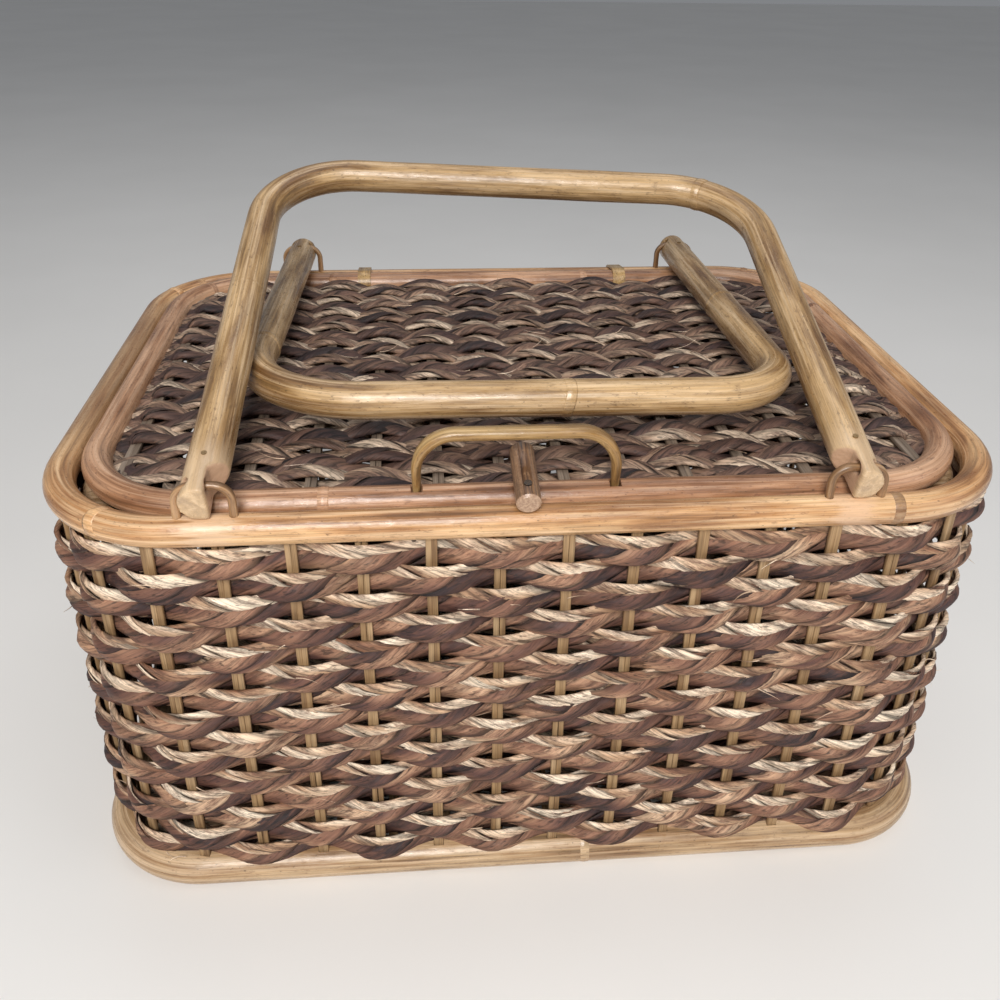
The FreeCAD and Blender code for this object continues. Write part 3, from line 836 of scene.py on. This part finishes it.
wall_bark = bark_material(
    "wall_bark",
    [(0.25, 0.12, 0.065), (0.52, 0.33, 0.20), (0.76, 0.56, 0.39), (0.93, 0.77, 0.59)],
    [(0.03, 0.014, 0.015), (0.10, 0.043, 0.032), (0.245, 0.12, 0.072), (0.42, 0.24, 0.145),
     (0.62, 0.42, 0.27)],
    (0.15, 0.068, 0.045), 0.42)
lid_bark = bark_material(
    "lid_bark",
    [(0.12, 0.065, 0.045), (0.26, 0.16, 0.105), (0.40, 0.27, 0.185), (0.64, 0.50, 0.37)],
    [(0.022, 0.011, 0.012), (0.062, 0.031, 0.026), (0.135, 0.072, 0.05), (0.23, 0.135, 0.09),
     (0.33, 0.21, 0.14)],
    (0.08, 0.042, 0.033), 0.2)
wall_reed = reed_material("wall_reed", [(0.20, 0.11, 0.05), (0.34, 0.21, 0.10), (0.46, 0.31, 0.17)])
lid_reed = reed_material("lid_reed", [(0.11, 0.08, 0.06), (0.19, 0.14, 0.10), (0.27, 0.21, 0.16)])

RIM_CUT = RIM_PATH.ends[5] + RIM_PATH.runs[5] / 2    # where a ring's along-distance starts
RIM_LEFT_SHADE = RIM_PATH.ends[6] + RIM_PATH.runs[6] / 2 - RIM_CUT     # the middle of the left side, where shade is painted on
rim_cane = pole_material(
    "rim_cane",
    [(0.29, 0.13, 0.048), (0.51, 0.265, 0.11), (0.72, 0.44, 0.215), (0.88, 0.62, 0.37),
     (0.19, 0.085, 0.035)],
    0.6, wear_and_shade_patches=[(RIM_PATH.length - 0.150 - RIM_CUT, 8 * MM, 5 * MM, (0.76, 0.53, 0.34), 0.6),
                  (RIM_PATH.length + 0.144 - RIM_CUT, 6 * MM, 5 * MM, (0.72, 0.48, 0.31), 0.6),
                  # painted shade: the rim's left run is darkened as if it faced away from the light
                  (RIM_LEFT_SHADE, 70 * MM, 70 * MM, (0.19, 0.105, 0.055), 0.6)])
lid_cane = pole_material(
    "lid_cane",
    [(0.21, 0.09, 0.04), (0.38, 0.19, 0.095), (0.54, 0.31, 0.18), (0.70, 0.46, 0.30), (0.12, 0.05, 0.028)],
    0.55)
base_cane = pole_material(
    "base_cane",
    [(0.28, 0.15, 0.065), (0.42, 0.265, 0.135), (0.56, 0.385, 0.22), (0.70, 0.52, 0.34),
     (0.19, 0.095, 0.045)],
    0.6)
HANDLE_COLOURS = [(0.18, 0.09, 0.032), (0.35, 0.205, 0.08), (0.56, 0.365, 0.175), (0.80, 0.60, 0.38),
                  (0.11, 0.052, 0.02)]
front_cane = pole_material("front_handle_cane", HANDLE_COLOURS, 0.5, 0.7,
                           cut_wood=(HANDLE_R, (0.76, 0.56, 0.36), (0.56, 0.36, 0.23)))
rear_cane = pole_material("rear_handle_cane", HANDLE_COLOURS, 0.6, 0.7)
split_cane = pole_material(
    "split_cane",
    [(0.16, 0.08, 0.025), (0.32, 0.18, 0.06), (0.46, 0.29, 0.115), (0.60, 0.42, 0.2), (0.09, 0.04, 0.016)],
    0.5)
arch_cane = pole_material(
    "arch_cane",
    [(0.15, 0.075, 0.03), (0.30, 0.16, 0.07), (0.44, 0.26, 0.13), (0.58, 0.38, 0.21), (0.08, 0.038, 0.018)],
    0.5)
dark_dowel = dowel_material()
old_nail = nail_material("old_nail", (0.06, 0.055, 0.05), (0.16, 0.11, 0.08))
dull_brass = nail_material("dull_brass", (0.24, 0.16, 0.08), (0.42, 0.29, 0.15))


RUB_GRAIN = 0.9 * MM         # size of the even mesh's cells
RUB_ROUNDS = 8


def rub_round(piece):
    """Even the mesh out and wear its sharp edges round."""
    remesh = piece.modifiers.new("even", "REMESH")
    remesh.mode = "VOXEL"
    remesh.voxel_size = RUB_GRAIN
    wear = piece.modifiers.new("wear", "SMOOTH")
    wear.iterations = RUB_ROUNDS
    bpy.context.view_layer.update()
    ready = piece.evaluated_get(bpy.context.evaluated_depsgraph_get())
    mesh = bpy.data.meshes.new_from_object(ready)
    mesh.polygons.foreach_set("use_smooth", np.ones(len(mesh.polygons), bool))
    piece.modifiers.clear()
    piece.data = mesh


def shell(node, body, slot_name, material, rubbed=False):
    """A new piece of the node's shape, which can carry the places that its material reads."""
    piece = add_object(node + "_cane", nodes[node].data.copy())
    if rubbed:
        rub_round(piece)
    piece.data.materials.clear()
    return settle(piece, material, body, slot_name, node)


# ---- walls
wall_nodes = [name for name in nodes if name.startswith("wall_weave")]
for row in range(ROWS):
    settle(wall_braid(row), wall_bark, "root", "wall_braid", *wall_nodes)

walls = ("front_stakes", "right_stakes", "back_stakes", "left_stakes")
for node, places in zip(walls, STAKES.reshape(len(walls), WALL_STAKES)):
    wall_stake_piece(node, places, wall_reed)

# ---- lid and base panels
LID_DOME = 3.6 * MM
LID_MID = LID_Z - 0.5 * MM
lid_in_x, lid_in_y = LID_X - LID_R, LID_Y - LID_R
lid_rows = PanelRows(lid_in_x, lid_in_y, LID_CORNER - LID_R, rows=22, pitch=13.3 * MM,
                     stakes=panel_stake_places("lid_stakes"))
lid_weave = panel_braid("lid_braid", lid_rows, LID_MID, lid_in_x, lid_in_y, LID_DOME,
                        seed=7, step=2.2 * MM, half_height=8.9 * MM)
settle(lid_weave, lid_bark, "root", "lid_braid", "lid_weave")
panel_stake_piece("lid_stakes", LID_MID, LID_X, LID_Y, LID_CORNER, bite=2.5 * MM, rise=LID_DOME,
                  material=lid_reed, slot="lid_reed")

base_in_x, base_in_y = BASE_X - BASE_R, BASE_Y - BASE_R
base_rows = PanelRows(base_in_x, base_in_y, BASE_CORNER - BASE_R, rows=23, pitch=13.8 * MM,
                      stakes=panel_stake_places("base_stakes"))
base_weave = panel_braid("base_braid", base_rows, BASE_R, base_in_x, base_in_y, rise=0,
                         seed=8, step=3.4 * MM, half_height=8.0 * MM)
settle(base_weave, wall_bark, "root", "wall_braid", "base_weave")
panel_stake_piece("base_stakes", BASE_R, BASE_X, BASE_Y, BASE_CORNER, bite=4 * MM, rise=0,
                  material=wall_reed, slot="wall_reed")

# ---- poles
LID_PATH = RingPath(LID_X, LID_Y, LID_CORNER)
BASE_PATH = RingPath(BASE_X, BASE_Y, BASE_CORNER)
rings = {       # the last are the knuckles' distances along the path, in metres
    "rim_ring": (RIM_PATH, RIM_Z, RIM_R, rim_cane, "rim_cane", (-0.20, 0.165, 0.55, 0.98)),
    "lid_ring": (LID_PATH, LID_Z, LID_R, lid_cane, "lid_cane", (-0.10, 0.42, 0.62, 0.80)),
    "base_ring": (BASE_PATH, BASE_Z, BASE_R, base_cane, "base_cane", (0.03, 0.38, 0.90)),
}
for node, (path, z, radius, material, slot_name, places) in rings.items():
    line, normal = ring_line(path, z)
    back_left_corner = path.ends[5] + path.runs[5] / 2
    unroll(shell(node, "root", slot_name, material), line, normal, True, back_left_corner)
    for number, place in enumerate(places):
        knuckle(node + "_knuckle_%d" % (number + 1), line, normal, True, place % path.length, radius,
                0.4 * MM, material, "root", slot_name)

# each handle's cane, the share by which its left foot is thicker than its bar, and its knuckles
for node, handle_cane, thick_foot, places in (("front_handle", front_cane, 0.045, (0.16, 0.53)),
                                              ("rear_handle", rear_cane, 0.0, (0.21, 0.42, 0.66))):
    line, normal = handle_line(node)
    piece = shell(node, node, "handle_cane", handle_cane, rubbed=True)
    along, offset = unroll(piece, line, normal, False)
    grow_uneven(piece, along, offset, (0.0, 0.12, 0.3), (thick_foot, thick_foot * 0.8, 0.0), len(node))
    for number, place in enumerate(places):
        knuckle(node + "_knuckle_%d" % (number + 1), line, normal, False, place, HANDLE_R,
                0.35 * MM, handle_cane, node, "handle_cane")

for node in nodes:
    if node.startswith("hinge_band"):
        plain_coordinates(shell(node, "root", "split_cane", split_cane), (1, 0, 2))
plain_coordinates(shell("lid_ledge", "root", "base_cane", base_cane), (0, 1, 2))

# ---- split canes
SPLIT_PROFILE = [(-1, -0.2), (-0.92, 0.28), (-0.6, 0.78), (0, 1), (0.6, 0.78), (0.92, 0.28), (1, -0.2),
                 (0.85, -0.85), (0, -1), (-0.85, -0.85)]     # in half widths and half depths


def split_cane_piece(name, node, line, half, deep, material):
    """A split cane, round outside and flat inside, bent along a line in an upright plane."""
    heading = np.gradient(line, axis=0)
    heading /= np.linalg.norm(heading, axis=1)[:, None]
    sideways = np.array([0, 1.0, 0])
    outward = np.cross(heading, -sideways)
    columns = [line + (u * half)[:, None] * sideways + (v * deep)[:, None] * outward
               for u, v in SPLIT_PROFILE]
    run = run_along(line) + (line[0, 0] * 7) % 1      # so that no two show the same streaks
    data = [np.stack([run, u * half, v * deep], -1) for u, v in SPLIT_PROFILE]
    pole = np.stack(data, 1).reshape(-1, 3)
    piece = grid_mesh(name, np.stack(columns, 1)[None], False, {"pole": pole})
    settle(piece, material, "root", "split_cane", node)


def arch_piece(node):
    """The bent cane that a handle's foot turns on, set in the rim at both ends."""
    swell, step = 0.35 * MM, 0.8 * MM
    line = staple_line(node, 2.0 * MM, 7.5 * MM, step)
    rng = np.random.default_rng(int(abs(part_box(node)[0].x) * 10000) % 977)
    s = np.arange(len(line)) * step
    half = 1.9 * MM + smooth_wobble(rng, s, 18 * MM, swell / 2)
    deep = 1.85 * MM + smooth_wobble(rng, s, 22 * MM, swell / 2)
    split_cane_piece(node + "_strip", node, line, half, deep, arch_cane)


for node in nodes:
    if "_arch_" in node:
        arch_piece(node)

# ---- latch
BUTTON_TILT = math.radians(13)
BUTTON_HALF = 18.5 * MM      # half its length
button_low, button_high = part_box("turn_button")
button_middle = np.array((button_low + button_high) / 2)
button_along = np.array([0, math.cos(BUTTON_TILT), math.sin(BUTTON_TILT)])
button_steps = np.linspace(-BUTTON_HALF, BUTTON_HALF, 38)[:, None]
button = shell("turn_button", "turn_button", "dark_wood", dark_dowel)
unroll(button, button_middle + button_steps * button_along, np.array([1.0, 0, 0]), False)
for node, metal in (("button_nail", old_nail), ("ledge_pins", old_nail),
                    ("front_handle_tacks", dull_brass), ("rear_handle_tacks", dull_brass)):
    nodes[node].data.materials.clear()
    nodes[node].data.materials.append(metal)


def pull_piece():
    """The lid's pull, pared to a point where it enters the lid ring."""
    step = 1.4 * MM
    line = staple_line("lid_pull", 2.7 * MM, 18 * MM, step)
    s = np.arange(len(line)) * step
    rng = np.random.default_rng(5)
    grown = np.clip(np.minimum(s, s[-1] - s) / (26 * MM), 0, 1)
    half = (1.9 + 2.1 * np.sin(grown * math.pi / 2)) * MM + smooth_wobble(rng, s, 50 * MM, 0.12 * MM)
    deep = (1.7 + 1.2 * grown) * MM
    split_cane_piece("pull_cane", "lid_pull", line, half, deep, split_cane)


pull_piece()


# ---- loose fibres
FIBRES = 150
FIBRE_POINTS = 12


def loose_fibres():
    """Thin frayed fibres that stand off the braids here and there."""
    rng = np.random.default_rng(31)
    rings, data = [], []
    for number in range(FIBRES):
        size = rng.uniform(7, 17) * MM
        steps = np.linspace(0, 1, FIBRE_POINTS)[:, None]
        if number % 3 == 0:      # on the lid
            x, y = rng.uniform(-0.17, 0.17), rng.uniform(-0.13, 0.13)
            z = LID_MID + float(dome(x, y, lid_in_x, lid_in_y, LID_DOME)) + 4.6 * MM
            start = np.array([x, y, z])
            up = np.array([0, 0, 1.0])
            along = np.array([rng.choice([-1, 1]), rng.uniform(-0.5, 0.5), 0])
        else:
            s = np.array([rng.uniform(0, RIM_PATH.length)])
            point, out, head = (v[0] for v in RIM_PATH.at(s))
            z = ROW_FIRST + rng.integers(0, ROWS) * ROW_PITCH + rng.uniform(-4, 4) * MM
            start = np.array([*(point + out * (wall_spread(z) + 5.2 * MM)), z])
            up = np.array([*out, 0.0])
            along = np.array([*(head * rng.choice([-1, 1])), rng.uniform(-0.6, 0.4)])
        along /= np.linalg.norm(along)
        lift = rng.uniform(0.12, 0.34)
        curve = steps ** 2 * lift * size * up + steps * along * size
        side = np.cross(along, up)
        curve = curve + np.sin(steps * rng.uniform(2, 5)) * rng.uniform(-0.1, 0.1) * size * side
        points = start + curve
        wide = rng.uniform(0.25, 0.6) * MM * (1 - 0.85 * steps[:, 0])
        profile = [(-1, 0), (0, 0.22), (1, 0), (0, -0.22)]
        columns = [points + (u * wide)[:, None] * side + (v * wide)[:, None] * up for u, v in profile]
        rings.append(np.stack(columns, 1))
        tone = rng.uniform(0, 50)
        flat = np.zeros((FIBRE_POINTS, len(profile)))
        data.append(np.stack([flat + steps * size, flat, flat + tone], -1))
    strip = np.stack(data).reshape(-1, 3)
    piece = grid_mesh("loose_fibres", np.stack(rings), False,
                      {"strip": strip, "side": np.zeros(len(strip))})
    settle(piece, wall_bark, "root", "wall_braid")


loose_fibres()

# ---- stage
floor_mesh = bpy.data.meshes.new("floor")
floor_mesh.from_pydata([(-6, -6, 0), (6, -6, 0), (6, 6, 0), (-6, 6, 0)], [], [(0, 1, 2, 3)])
floor = add_object("floor", floor_mesh)
paint = Shader("floor_paint")
cloudy = paint.noise(paint.node("NewGeometry").outputs["Position"], scale=3.0)
tone = paint.ramp(cloudy, [(0.3, (0.80, 0.79, 0.77)), (0.7, (0.84, 0.83, 0.81))])
floor_mesh.materials.append(paint.finish(tone, 0.6, None))


def area_light(name, place, aim, size, power, colour=(1, 1, 1)):
    data = bpy.data.lights.new(name, "AREA")
    data.shape = "RECTANGLE"
    data.size, data.size_y = size
    data.energy = power
    data.color = colour
    light = add_object(name, data)
    light.location = place
    light.rotation_euler = (Vector(aim) - Vector(place)).to_track_quat("-Z", "Y").to_euler()


area_light("key", (-0.25, -1.5, 1.35), (0, 0, 0.12), (0.7, 0.7), 34, (1.0, 0.97, 0.94))
area_light("fill", (1.7, -0.9, 1.1), (0, 0, 0.12), (1.2, 1.2), 6, (0.95, 0.97, 1.0))
area_light("top", (0.1, 0.6, 2.0), (0, 0, 0.2), (1.6, 1.0), 8)

world = bpy.data.worlds.new("studio")
world.use_nodes = True
sky = world.node_tree.nodes["Background"]
sky.inputs["Color"].default_value = (0.92, 0.95, 1.0, 1)
sky.inputs["Strength"].default_value = 0.24
bpy.context.scene.world = world
bpy.context.scene.view_settings.view_transform = "Standard"

# ---- camera, at the photograph's viewing angle
CAMERA_PLACE = Vector((-56.33, -541.15, 464.07)) * MM
CAMERA_YAW, CAMERA_PITCH, CAMERA_ROLL = 0.0948718, 0.5435876, 0.0186664
forward = Vector((math.sin(CAMERA_YAW) * math.cos(CAMERA_PITCH),
                  math.cos(CAMERA_YAW) * math.cos(CAMERA_PITCH), -math.sin(CAMERA_PITCH)))
level = Vector((math.cos(CAMERA_YAW), -math.sin(CAMERA_YAW), 0))
upright = level.cross(forward)
right = math.cos(CAMERA_ROLL) * level + math.sin(CAMERA_ROLL) * upright
above = -math.sin(CAMERA_ROLL) * level + math.cos(CAMERA_ROLL) * upright
camera_data = bpy.data.cameras.new("camera")
camera_data.sensor_width = 36
camera_data.lens = 35.11
camera_data.clip_start = 0.01
camera = add_object("camera", camera_data)
turn = Matrix((right, above, -forward)).transposed()
camera.matrix_world = Matrix.Translation(CAMERA_PLACE) @ turn.to_4x4()
bpy.context.scene.camera = camera

bpy.context.view_layer.update()
